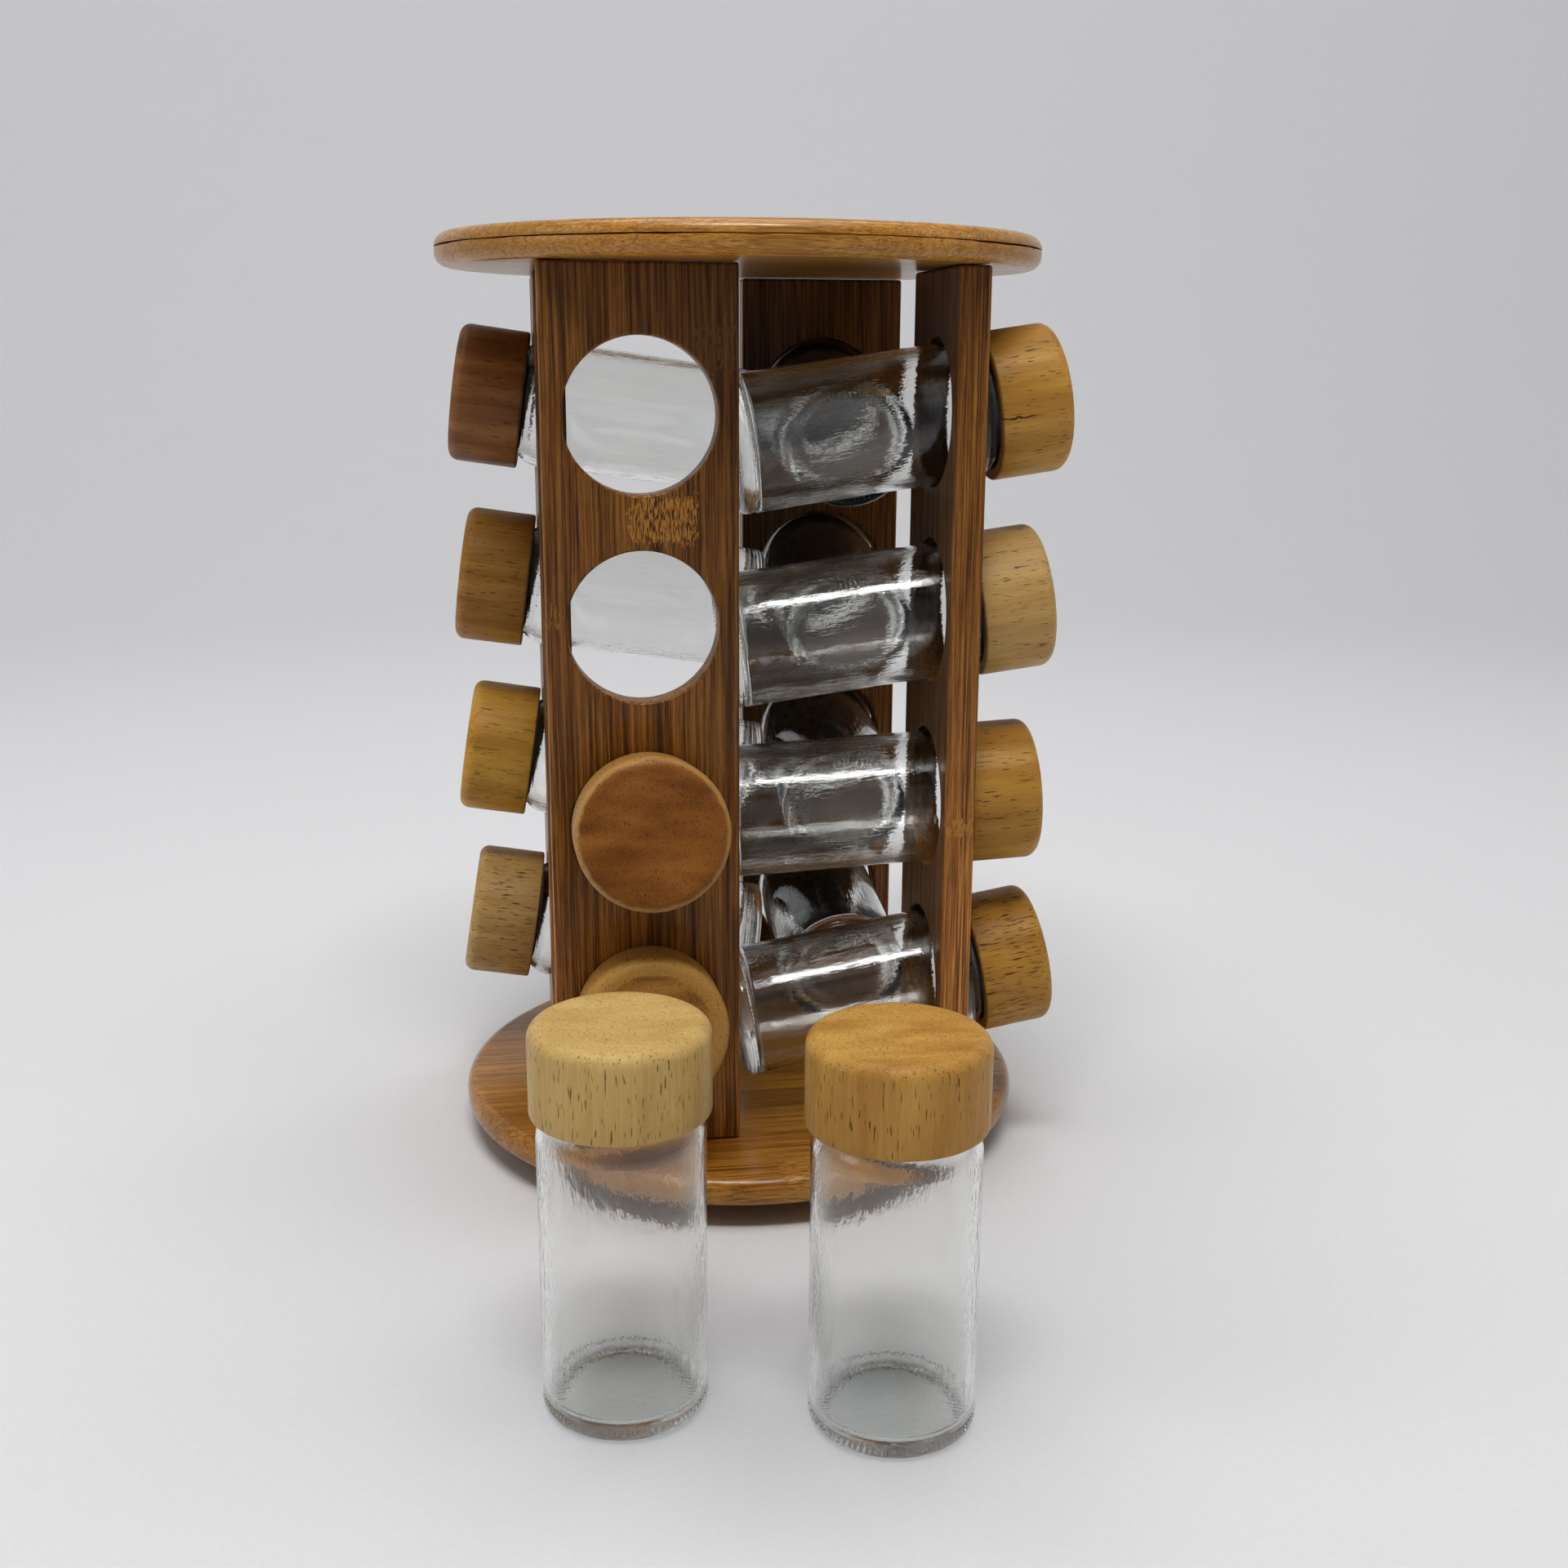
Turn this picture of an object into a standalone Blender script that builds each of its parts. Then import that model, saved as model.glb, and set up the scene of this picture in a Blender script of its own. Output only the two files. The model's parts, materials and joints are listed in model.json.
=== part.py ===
"""Spice carousel: two round bamboo discs joined by four bamboo panels set in a pinwheel.

Each panel has four round holes that hold glass jars lying on their side, cap outwards and a little
raised. The whole rack turns on a flat ball bearing over a rubber pad. Two more jars stand on the table.
Units are metres, +Z is up, the table is z = 0 and the turning axis is the Z axis.
"""

import math

import bmesh
import bpy
from mathutils import Matrix, Vector

MM = 0.001
GAP = 0.3 * MM  # play between pieces that touch
SMOOTH_ANGLE = math.radians(35)
MERGE_DISTANCE = 0.01 * MM

# Discs
DISC_RADIUS = 100 * MM
BASE_BOTTOM = 8.3 * MM
BASE_THICKNESS = 10.2 * MM
TOP_THICKNESS = 10.5 * MM
DISC_ROUND = 4.2 * MM
DISC_SEGMENTS = 48
PIN_BORE_RADIUS = 3.8 * MM
PIN_BORE_DEPTH = 5.5 * MM

# Panels, described for the front one; the others are quarter turns of it
PANEL_HEIGHT = 282 * MM
PANEL_WIDTH = 59.8 * MM
PANEL_THICKNESS = 10.2 * MM
PANEL_FACE = 68.5 * MM  # from the turning axis to the outer face
PANEL_INNER_EDGE = -8.9 * MM  # x of the edge nearest the axis
PANEL_BEVEL = 0.8 * MM
BEVEL_ANGLE = math.radians(60)  # edges at least this sharp are chamfered
HOLE_RADIUS = 23.6 * MM
HOLE_PITCH = 64 * MM
HOLE_COUNT = 4
HOLE_SEGMENTS = 32
SIDES = ("front", "right", "back", "left")

# Jars, measured up from the base of the glass
JAR_SEGMENTS = 20
GLASS_RADIUS = 22.2 * MM
GLASS_WALL = 2.0 * MM
GLASS_FLOOR = 4.5 * MM
GLASS_HEEL = 4.0 * MM
INNER_HEEL = 2.0 * MM
INNER_SHOULDER_DROP = 1.0 * MM  # the inside starts to narrow this far below the outside
SHOULDER_Z = 79.1 * MM
NECK_Z = 83.5 * MM
NECK_RADIUS = 19.2 * MM
MOUTH_RADIUS = 17.2 * MM
MOUTH_Z = 97.0 * MM
CAP_Z = 84.3 * MM
CAP_RADIUS = 23.8 * MM
CAP_HEIGHT = 24.1 * MM
CAP_RECESS_RADIUS = 20.0 * MM
CAP_RECESS_DEPTH = 13.5 * MM
CAP_ROUND = 2.4 * MM
CAP_CHAMFER = 0.6 * MM
SIFTER_SEGMENTS = 16
SIFTER_RADIUS = 16.8 * MM
SIFTER_Z = 82.6 * MM
SIFTER_WALL = 1.2 * MM
SIFTER_RIM_DROP = 0.2 * MM  # below the mouth
SIFTER_HOLE_RADIUS = 2.2 * MM
SIFTER_HOLE_RING = 9.0 * MM
SIFTER_HOLES = 4
SIFTER_HOLE_SEGMENTS = 6

# How each racked jar lies: (side, row) gives the gap in millimetres between cap and panel along the
# jar, its tilt in degrees and its skew in degrees, which keeps its base clear of the next panel
RACKED = {
    ("front", 3): (6.9, 9.6, 0.0),
    ("front", 4): (5.0, 9.4, 1.2),
    ("right", 1): (6.3, 8.4, 0.0),
    ("right", 2): (3.8, 8.0, 2.2),
    ("right", 3): (2.3, 3.6, 3.0),
    ("right", 4): (7.3, 9.6, 0.0),
    ("back", 1): (5.2, 9.2, 1.4),
    ("back", 2): (6.6, 9.5, 0.4),
    ("back", 3): (4.8, 8.5, 1.6),
    ("back", 4): (7.0, 9.2, 0.2),
    ("left", 1): (3.8, 8.0, 2.2),
    ("left", 2): (3.8, 8.0, 2.2),
    ("left", 3): (4.3, 9.0, 2.0),
    ("left", 4): (4.8, 9.4, 1.7),
}
STANDING = {
    1: (-55.0 * MM, -182.8 * MM),
    2: (14.3 * MM, -200.6 * MM),
}

# Turntable under the base disc
PAD_RADIUS = 70 * MM
PAD_THICKNESS = 2.0 * MM
PLATE_OUTER = 66 * MM
PLATE_HOLE = 4.2 * MM
PLATE_THICKNESS = 1.1 * MM
PLATE_SEGMENTS = 36
BALL_RADIUS = 1.45 * MM
BALL_RING = 50 * MM
BALL_COUNT = 10
BALL_SEGMENTS = 6
BALL_RINGS = 4
BALL_START = 0.25  # the first ball's place, as a share of the spacing
CAGE_HALF_WIDTH = 3.0 * MM
CAGE_THICKNESS = 0.8 * MM
PIN_RADIUS = 3.4 * MM
PIN_HEIGHT = 9.0 * MM
PIN_SEGMENTS = 16

BASE_TOP = BASE_BOTTOM + BASE_THICKNESS
TOP_BOTTOM = BASE_TOP + PANEL_HEIGHT
LOWER_PLATE_Z = PAD_THICKNESS + GAP
UPPER_PLATE_Z = BASE_BOTTOM - GAP - PLATE_THICKNESS
BALL_Z = (LOWER_PLATE_Z + PLATE_THICKNESS + UPPER_PLATE_Z) / 2

# Colour, roughness, metallic and transmission of each material
MATERIALS = {
    "bamboo_panel": ((0.30, 0.15, 0.07), 0.42, 0.0, 0.0),
    "bamboo_top": ((0.55, 0.31, 0.13), 0.38, 0.0, 0.0),
    "bamboo_base": ((0.46, 0.22, 0.08), 0.34, 0.0, 0.0),
    "cap_pale": ((0.72, 0.52, 0.28), 0.5, 0.0, 0.0),
    "cap_honey": ((0.60, 0.36, 0.15), 0.48, 0.0, 0.0),
    "cap_brown": ((0.40, 0.19, 0.08), 0.46, 0.0, 0.0),
    "clear_glass": ((0.92, 0.94, 0.93), 0.03, 0.0, 1.0),
    "sifter_plastic": ((0.80, 0.81, 0.80), 0.35, 0.0, 0.4),
    "steel": ((0.62, 0.62, 0.61), 0.35, 1.0, 0.0),
    "rubber": ((0.03, 0.03, 0.03), 0.85, 0.0, 0.0),
}
CAP_TONES = {
    ("table", 1): "cap_pale",
    ("left", 1): "cap_brown",
    ("left", 3): "cap_pale",
    ("front", 3): "cap_brown",
    ("back", 2): "cap_pale",
    ("back", 4): "cap_brown",
}


def clear_scene():
    """Remove what is in the scene already."""
    for obj in list(bpy.data.objects):
        bpy.data.objects.remove(obj, do_unlink=True)


def new_collection(name):
    """Add a collection to the scene."""
    collection = bpy.data.collections.new(name)
    bpy.context.scene.collection.children.link(collection)
    return collection


def make_material(name):
    """A Principled material with the values listed for it."""
    colour, roughness, metallic, transmission = MATERIALS[name]
    material = bpy.data.materials.new(name)
    material.use_nodes = True
    shader = material.node_tree.nodes["Principled BSDF"]
    shader.inputs["Base Color"].default_value = (*colour, 1.0)
    shader.inputs["Roughness"].default_value = roughness
    shader.inputs["Metallic"].default_value = metallic
    shader.inputs["Transmission Weight"].default_value = transmission
    material.diffuse_color = (*colour, 1.0)
    return material


def add_object(name, mesh, collection, parent=None):
    """Link a mesh to the scene as one named object."""
    obj = bpy.data.objects.new(name, mesh)
    collection.objects.link(obj)
    obj.parent = parent
    return obj


def add_empty(name, collection, parent=None):
    """An empty that carries the pieces that move together."""
    empty = bpy.data.objects.new(name, None)
    collection.objects.link(empty)
    empty.parent = parent
    return empty


def shade(mesh):
    """Smooth shading with sharp edges kept."""
    mesh.shade_smooth()
    mesh.set_sharp_from_angle(angle=SMOOTH_ANGLE)


def bake(obj):
    """The object's shape with its modifiers applied, as a new mesh; the object itself is removed."""
    depsgraph = bpy.context.evaluated_depsgraph_get()
    mesh = bpy.data.meshes.new_from_object(obj.evaluated_get(depsgraph), depsgraph=depsgraph)
    bpy.data.objects.remove(obj, do_unlink=True)
    return mesh


def turned(name, profile, segments, collection):
    """A solid turned about Z from a profile of (radius, z) points."""
    mesh = bpy.data.meshes.new(name)
    points = [(radius, 0.0, z) for radius, z in profile]
    edges = [(i, i + 1) for i in range(len(points) - 1)]
    if profile[0][0] > 0:
        edges.append((len(points) - 1, 0))
    mesh.from_pydata(points, edges, [])
    obj = add_object(name, mesh, collection)
    screw = obj.modifiers.new("turn", "SCREW")
    screw.axis = "Z"
    screw.steps = segments
    screw.render_steps = segments
    screw.use_merge_vertices = True
    screw.merge_threshold = MERGE_DISTANCE
    screw.use_smooth_shade = True
    result = bake(obj)
    result.name = name
    shade(result)
    return result


def cylinders(name, centres, radius, depth, segments, axis_turn, collection):
    """Equal cylinders as one cutter object, each turned from Z by the given matrix."""
    mesh = bpy.data.meshes.new(name)
    bm = bmesh.new()
    for centre in centres:
        bmesh.ops.create_cone(
            bm,
            cap_ends=True,
            segments=segments,
            radius1=radius,
            radius2=radius,
            depth=depth,
            matrix=Matrix.Translation(centre) @ axis_turn,
        )
    bm.to_mesh(mesh)
    bm.free()
    cutter = add_object(name, mesh, collection)
    cutter.hide_render = True
    cutter.display_type = "WIRE"
    return cutter


def boolean(obj, cutter, operation):
    """An exact Boolean with the cutter."""
    modifier = obj.modifiers.new(operation.lower(), "BOOLEAN")
    modifier.operation = operation
    modifier.solver = "EXACT"
    modifier.object = cutter


def bevel(obj, width):
    """A narrow chamfer on the object's sharp edges."""
    modifier = obj.modifiers.new("bevel", "BEVEL")
    modifier.width = width
    modifier.segments = 1
    modifier.limit_method = "ANGLE"
    modifier.angle_limit = BEVEL_ANGLE


def corner_inset(size):
    """How far the middle of a rounded corner of this radius lies inside its square corner."""
    return size * (1 - math.sqrt(0.5))


def disc_profile(bottom, thickness):
    """The rounded edge of a disc, from the top of its axis round to the bottom."""
    top = bottom + thickness
    flat = DISC_RADIUS - DISC_ROUND
    corner = corner_inset(DISC_ROUND)
    shoulder = DISC_RADIUS - corner
    return [
        (0.0, top),
        (flat, top),
        (shoulder, top - corner),
        (DISC_RADIUS, top - DISC_ROUND),
        (DISC_RADIUS, bottom + DISC_ROUND),
        (shoulder, bottom + corner),
        (flat, bottom),
    ]


def build_discs(collection, parent, materials):
    """The top disc, and the base disc with a blind bore for the pivot pin."""
    top = disc_profile(TOP_BOTTOM, TOP_THICKNESS) + [(0.0, TOP_BOTTOM)]
    bore_top = BASE_BOTTOM + PIN_BORE_DEPTH
    bore = [(PIN_BORE_RADIUS, BASE_BOTTOM), (PIN_BORE_RADIUS, bore_top), (0.0, bore_top)]
    base = disc_profile(BASE_BOTTOM, BASE_THICKNESS) + bore
    for name, profile, material in (
        ("top_disc", top, "bamboo_top"),
        ("base_disc", base, "bamboo_base"),
    ):
        mesh = turned(name, profile, DISC_SEGMENTS, collection)
        mesh.materials.append(materials[material])
        add_object(name, mesh, collection, parent)


def build_panels(collection, cutters, parent, materials):
    """Four panels that share one mesh, each a quarter turn from the last."""
    height = PANEL_HEIGHT - 2 * GAP
    mesh = bpy.data.meshes.new("panel")
    bm = bmesh.new()
    bmesh.ops.create_cube(bm, size=1.0)
    bmesh.ops.scale(bm, vec=(PANEL_WIDTH, PANEL_THICKNESS, height), verts=bm.verts)
    bm.to_mesh(mesh)
    bm.free()
    blank = add_object("panel_blank", mesh, collection)
    bevel(blank, PANEL_BEVEL)
    first = HOLE_PITCH * (HOLE_COUNT - 1) / 2
    centres = [Vector((0, 0, first - i * HOLE_PITCH)) for i in range(HOLE_COUNT)]
    lie_down = Matrix.Rotation(math.pi / 2, 4, "X")
    depth = 2 * PANEL_THICKNESS
    cutter = cylinders("jar_holes", centres, HOLE_RADIUS, depth, HOLE_SEGMENTS, lie_down, cutters)
    boolean(blank, cutter, "DIFFERENCE")
    shape = bake(blank)
    shape.name = "panel"
    shade(shape)
    shape.materials.append(materials["bamboo_panel"])
    centre = Vector(
        (
            PANEL_INNER_EDGE - PANEL_WIDTH / 2,
            -PANEL_FACE + PANEL_THICKNESS / 2,
            BASE_TOP + PANEL_HEIGHT / 2,
        )
    )
    for quarter, side in enumerate(SIDES):
        turn = Matrix.Rotation(quarter * math.pi / 2, 4, "Z")
        panel = add_object(f"panel_{side}", shape, collection, parent)
        panel.matrix_local = turn @ Matrix.Translation(centre)


def glass_profile():
    """From the middle of the inner floor, up the inside, over the mouth and down the outside."""
    inner = GLASS_RADIUS - GLASS_WALL
    heel = corner_inset(GLASS_HEEL)
    return [
        (0.0, GLASS_FLOOR),
        (inner - INNER_HEEL, GLASS_FLOOR),
        (inner, GLASS_FLOOR + INNER_HEEL),
        (inner, SHOULDER_Z - INNER_SHOULDER_DROP),
        (MOUTH_RADIUS, NECK_Z),
        (MOUTH_RADIUS, MOUTH_Z),
        (NECK_RADIUS, MOUTH_Z),
        (NECK_RADIUS, NECK_Z),
        (GLASS_RADIUS, SHOULDER_Z),
        (GLASS_RADIUS, GLASS_HEEL),
        (GLASS_RADIUS - heel, heel),
        (GLASS_RADIUS - GLASS_HEEL, 0.0),
        (0.0, 0.0),
    ]


def cap_profile():
    """From the middle of the top, down the outside and up into the recess for the neck."""
    top = CAP_Z + CAP_HEIGHT
    corner = corner_inset(CAP_ROUND)
    recess_top = CAP_Z + CAP_RECESS_DEPTH
    return [
        (0.0, top),
        (CAP_RADIUS - CAP_ROUND, top),
        (CAP_RADIUS - corner, top - corner),
        (CAP_RADIUS, top - CAP_ROUND),
        (CAP_RADIUS, CAP_Z + CAP_CHAMFER),
        (CAP_RADIUS - CAP_CHAMFER, CAP_Z),
        (CAP_RECESS_RADIUS, CAP_Z),
        (CAP_RECESS_RADIUS, recess_top),
        (0.0, recess_top),
    ]


def sifter_profile():
    """A shallow cup that plugs the mouth, open upwards."""
    inner = SIFTER_RADIUS - SIFTER_WALL
    rim = MOUTH_Z - SIFTER_RIM_DROP
    return [
        (0.0, SIFTER_Z + SIFTER_WALL),
        (inner, SIFTER_Z + SIFTER_WALL),
        (inner, rim),
        (SIFTER_RADIUS, rim),
        (SIFTER_RADIUS, SIFTER_Z),
        (0.0, SIFTER_Z),
    ]


def sifter_mesh(collection, cutters):
    """The sifter with a middle hole and a ring of holes through its floor."""
    blank = add_object(
        "sifter_blank",
        turned("sifter", sifter_profile(), SIFTER_SEGMENTS, collection),
        collection,
    )
    centres = [Vector((0, 0, SIFTER_Z))]
    for i in range(SIFTER_HOLES):
        turn = Matrix.Rotation((i + 0.5) * math.tau / SIFTER_HOLES, 4, "Z")
        centres.append(turn @ Vector((SIFTER_HOLE_RING, 0, SIFTER_Z)))
    upright = Matrix.Identity(4)
    depth = 4 * SIFTER_WALL
    cutter = cylinders(
        "sifter_holes",
        centres,
        SIFTER_HOLE_RADIUS,
        depth,
        SIFTER_HOLE_SEGMENTS,
        upright,
        cutters,
    )
    boolean(blank, cutter, "DIFFERENCE")
    shape = bake(blank)
    shape.name = "sifter"
    shade(shape)
    return shape


def jar_meshes(collection, cutters, materials):
    """The three shapes that every jar shares, with one cap mesh for each tone of wood."""
    glass = turned("glass", glass_profile(), JAR_SEGMENTS, collection)
    glass.materials.append(materials["clear_glass"])
    sifter = sifter_mesh(collection, cutters)
    sifter.materials.append(materials["sifter_plastic"])
    caps = {}
    for tone in ("cap_pale", "cap_honey", "cap_brown"):
        caps[tone] = turned(tone, cap_profile(), JAR_SEGMENTS, collection)
        caps[tone].materials.append(materials[tone])
    return glass, sifter, caps


def racked_matrix(side, row):
    """Where a racked jar lies: its own Z runs along the jar, out of the rack and a little upwards."""
    reach, tilt, skew = RACKED[side, row]
    tilt = math.radians(tilt)
    height = BASE_TOP + PANEL_HEIGHT / 2 + HOLE_PITCH * ((HOLE_COUNT + 1) / 2 - row)
    hole = Vector(
        (PANEL_INNER_EDGE - PANEL_WIDTH / 2, -PANEL_FACE + PANEL_THICKNESS / 2, height)
    )
    lean = Matrix.Rotation(-math.radians(skew), 4, "Z") @ Matrix.Rotation(math.pi / 2 - tilt, 4, "X")
    along = lean @ Vector((0, 0, 1))
    base = hole + along * (PANEL_THICKNESS / 2 / math.cos(tilt) + reach * MM - CAP_Z)
    turn = Matrix.Rotation(SIDES.index(side) * math.pi / 2, 4, "Z")
    return turn @ Matrix.Translation(base) @ lean


def build_jar(place, number, matrix, shapes, collection, parent):
    """One jar on its own empty: glass, sifter and cap."""
    glass, sifter, caps = shapes
    label = f"{place}_{number}"
    jar = add_empty(f"jar_{label}", collection, parent)
    jar.matrix_local = matrix
    tone = CAP_TONES.get((place, number), "cap_honey")
    add_object(f"glass_{label}", glass, collection, jar)
    add_object(f"sifter_{label}", sifter, collection, jar)
    add_object(f"cap_{label}", caps[tone], collection, jar)


def build_jars(collection, cutters, rack, materials):
    """The racked jars turn with the rack; the standing ones stay on the table."""
    shapes = jar_meshes(collection, cutters, materials)
    for side, row in RACKED:
        build_jar(side, row, racked_matrix(side, row), shapes, collection, rack)
    for number, (x, y) in STANDING.items():
        build_jar("table", number, Matrix.Translation((x, y, 0)), shapes, collection, None)


def ring_profile(inner, outer, bottom, thickness):
    """A flat ring's outline, closed on itself."""
    top = bottom + thickness
    return [(inner, top), (outer, top), (outer, bottom), (inner, bottom)]


def ball_cage_mesh(collection, cutters):
    """A flat ring joined to the balls that it spaces."""
    ring = ring_profile(
        BALL_RING - CAGE_HALF_WIDTH,
        BALL_RING + CAGE_HALF_WIDTH,
        BALL_Z - CAGE_THICKNESS / 2,
        CAGE_THICKNESS,
    )
    blank = add_object(
        "cage_blank", turned("ball_cage", ring, PLATE_SEGMENTS, collection), collection
    )
    mesh = bpy.data.meshes.new("balls")
    bm = bmesh.new()
    for i in range(BALL_COUNT):
        turn = Matrix.Rotation((i + BALL_START) * math.tau / BALL_COUNT, 4, "Z")
        centre = Matrix.Translation((BALL_RING, 0, BALL_Z))
        bmesh.ops.create_uvsphere(
            bm,
            u_segments=BALL_SEGMENTS,
            v_segments=BALL_RINGS,
            radius=BALL_RADIUS,
            matrix=turn @ centre,
        )
    bm.to_mesh(mesh)
    bm.free()
    balls = add_object("balls", mesh, cutters)
    balls.hide_render = True
    balls.display_type = "WIRE"
    boolean(blank, balls, "UNION")
    shape = bake(blank)
    shape.name = "ball_cage"
    shade(shape)
    return shape


def build_turntable(collection, cutters, rack, materials):
    """Rubber pad, lower plate and pivot pin stay still; the ball cage and the upper plate turn."""
    pin_z = LOWER_PLATE_Z + PLATE_THICKNESS + GAP
    pad = [(0.0, PAD_THICKNESS), (PAD_RADIUS, PAD_THICKNESS), (PAD_RADIUS, 0.0), (0.0, 0.0)]
    pin = [
        (0.0, pin_z + PIN_HEIGHT),
        (PIN_RADIUS, pin_z + PIN_HEIGHT),
        (PIN_RADIUS, pin_z),
        (0.0, pin_z),
    ]
    lower = ring_profile(PLATE_HOLE, PLATE_OUTER, LOWER_PLATE_Z, PLATE_THICKNESS)
    upper = ring_profile(PLATE_HOLE, PLATE_OUTER, UPPER_PLATE_Z, PLATE_THICKNESS)
    cage = add_empty("ball_cage_axis", collection)
    pieces = (
        ("foot_pad", turned("foot_pad", pad, DISC_SEGMENTS, collection), "rubber", None),
        ("lower_plate", turned("lower_plate", lower, PLATE_SEGMENTS, collection), "steel", None),
        ("pivot_pin", turned("pivot_pin", pin, PIN_SEGMENTS, collection), "steel", None),
        ("ball_cage", ball_cage_mesh(collection, cutters), "steel", cage),
        ("upper_plate", turned("upper_plate", upper, PLATE_SEGMENTS, collection), "steel", rack),
    )
    for name, mesh, material, parent in pieces:
        mesh.materials.append(materials[material])
        add_object(name, mesh, collection, parent)


def main():
    """Build the whole carousel."""
    clear_scene()
    collection = new_collection("spice_carousel")
    cutters = new_collection("cutters")
    materials = {name: make_material(name) for name in MATERIALS}
    rack = add_empty("rack_axis", collection)
    build_turntable(collection, cutters, rack, materials)
    build_discs(collection, rack, materials)
    build_panels(collection, cutters, rack, materials)
    build_jars(collection, cutters, rack, materials)


main()
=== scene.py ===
"""Looks of the spice carousel: bamboo discs and panels, glass jars, turned caps and the turntable.

Lengths are metres, or millimetres where a comment says so. +Z is up, and the rack turns about Z.
"""

import json
import math

import bmesh
import bpy
from mathutils import Matrix, Vector, noise


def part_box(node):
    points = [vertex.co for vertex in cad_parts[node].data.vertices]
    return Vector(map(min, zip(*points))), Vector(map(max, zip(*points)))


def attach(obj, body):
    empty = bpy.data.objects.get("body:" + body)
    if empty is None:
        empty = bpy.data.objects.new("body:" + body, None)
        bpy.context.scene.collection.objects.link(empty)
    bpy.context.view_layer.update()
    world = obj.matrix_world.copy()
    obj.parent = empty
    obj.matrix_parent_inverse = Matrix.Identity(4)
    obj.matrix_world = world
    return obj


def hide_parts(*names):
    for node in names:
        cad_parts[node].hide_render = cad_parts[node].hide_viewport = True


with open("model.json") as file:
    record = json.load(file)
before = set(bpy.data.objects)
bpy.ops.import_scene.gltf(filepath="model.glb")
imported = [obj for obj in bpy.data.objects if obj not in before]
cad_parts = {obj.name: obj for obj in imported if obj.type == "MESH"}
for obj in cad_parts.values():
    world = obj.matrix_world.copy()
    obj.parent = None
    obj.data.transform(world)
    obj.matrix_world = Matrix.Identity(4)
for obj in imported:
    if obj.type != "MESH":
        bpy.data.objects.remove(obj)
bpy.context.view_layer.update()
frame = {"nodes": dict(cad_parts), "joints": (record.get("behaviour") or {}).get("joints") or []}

MM = 0.001
SIDES = ("front", "right", "back", "left")
JAR_LABELS = [n[len("glass_"):] for n in frame["nodes"] if n.startswith("glass_")]

# Camera
CAMERA_PLACE = Vector((-78.8, -601.6, 275.8)) * MM
CAMERA_YAW = math.radians(8.97)  # from +Y towards +X
CAMERA_PITCH = math.radians(14.08)  # down
CAMERA_ROLL = math.radians(0.32)
CAMERA_LENS = 40.0
CAMERA_SENSOR = 36.0
CAMERA_CLIP = (0.01, 20.0)

# Steps round each turned piece and each hole
DISC_SEGMENTS = 360
GLASS_SEGMENTS = 216
CAP_SEGMENTS = 128
SIFTER_SEGMENTS = 64
PLATE_SEGMENTS = 144
CAGE_SEGMENTS = 180
PIN_SEGMENTS = 48
SWEEP_SEGMENTS = 96
HOLE_SEGMENTS = 128
SIFTER_HOLE_SEGMENTS = 20

# Discs, in millimetres
DISC_ROUND = 4.2
CRACK_LEVEL = 0.42  # share of the top disc's thickness, from above
CRACK_DEPTH = 1.6
LIP_INNER = 0.25
LIP_OUTER = 0.6
PIN_BORE_RADIUS = 3.8
PIN_BORE_DEPTH = 5.5

# Panels
PANEL_BEVEL = 0.9 * MM
HOLE_GAP = 10 * MM  # mesh points further apart in height belong to different holes

# Jars, in millimetres above the jar's base
GLASS_RIBS = 72
RIB_HEIGHT = 0.27
CAP_BOTTOM = 84.3
CAP_TOP = 108.4
CAP_RADIUS = 23.8
SIFTER_FLOOR = 83.2
SIFTER_HOLE_RADIUS = 1.35
SIFTER_RINGS = ((6, 5.4), (12, 10.8))  # holes, radius of their circle

# Turntable, in millimetres
PLATE_BORE = 4.2
PLATE_MIDDLE = 30.0
CAGE_RADIUS = 50.0
CAGE_HALF_WIDTH = 3.0
BALLS = 20
PAD_GROOVES = 9
PAD_FIRST_GROOVE = 20.0
PAD_GROOVE_PITCH = 5.0

# Sweep, in millimetres
SWEEP_FLOOR = 1900.0
SWEEP_CURVE = 900.0
SWEEP_TOP = 2600.0
SWEEP_SHIFT = -0.7  # metres along Y


# ---------------------------------------------------------------------------------------------
# Node trees
# ---------------------------------------------------------------------------------------------


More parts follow.
